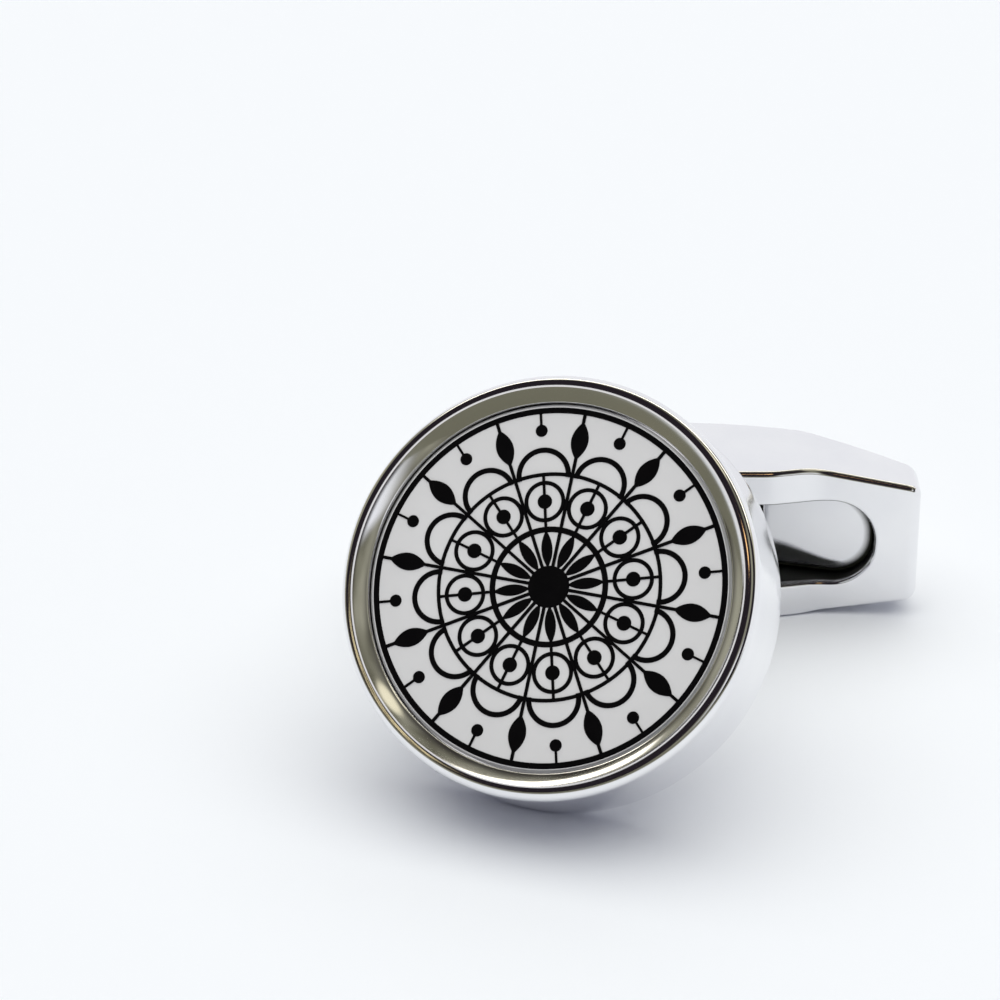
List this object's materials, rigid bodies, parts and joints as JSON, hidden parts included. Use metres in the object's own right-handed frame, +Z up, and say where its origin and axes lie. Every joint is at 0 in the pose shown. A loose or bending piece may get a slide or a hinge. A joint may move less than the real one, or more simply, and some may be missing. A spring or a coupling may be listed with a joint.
{
  "type": "cufflink",
  "caption": "Round drum cufflink with a black enamel rosette on a polished face, a bent stem and an arched swivelling toggle.",
  "frame": {"origin": "on the surface that the cufflink lies on, under the middle of its outer box", "axes": "+Z up from that surface; +Y from the decorated face towards the toggle, along the level part of the stem; +X to the right as seen from the face's side"},
  "size_m": [0.021, 0.0256, 0.016],
  "materials": {
    "plated_body": "polished rhodium plate",
    "face_steel": "polished steel",
    "black_enamel": "fired gloss enamel",
    "bond": "clear bonding film",
    "pin_steel": "ground steel",
    "spring_steel": "tempered strip"
  },
  "bodies": {
    "head": {"bezel_drum": "plated_body", "back_plate": "plated_body", "stem": "plated_body", "face_disc": "face_steel", "enamel_rosette": "black_enamel", "bond_film": "bond"},
    "toggle": {"toggle_body": "plated_body", "pivot_pin": "pin_steel", "upper_washer": "pin_steel", "lower_washer": "pin_steel", "leaf_spring": "spring_steel"}
  },
  "joints": [
    {"name": "toggle_swivel", "type": "hinge", "parent": "head", "child": "toggle", "pos_m": [-0.00005, 0.00811, 0.0036], "axis": [0, 0, 1], "range_deg": [-94.5, 54.5]}
  ]
}
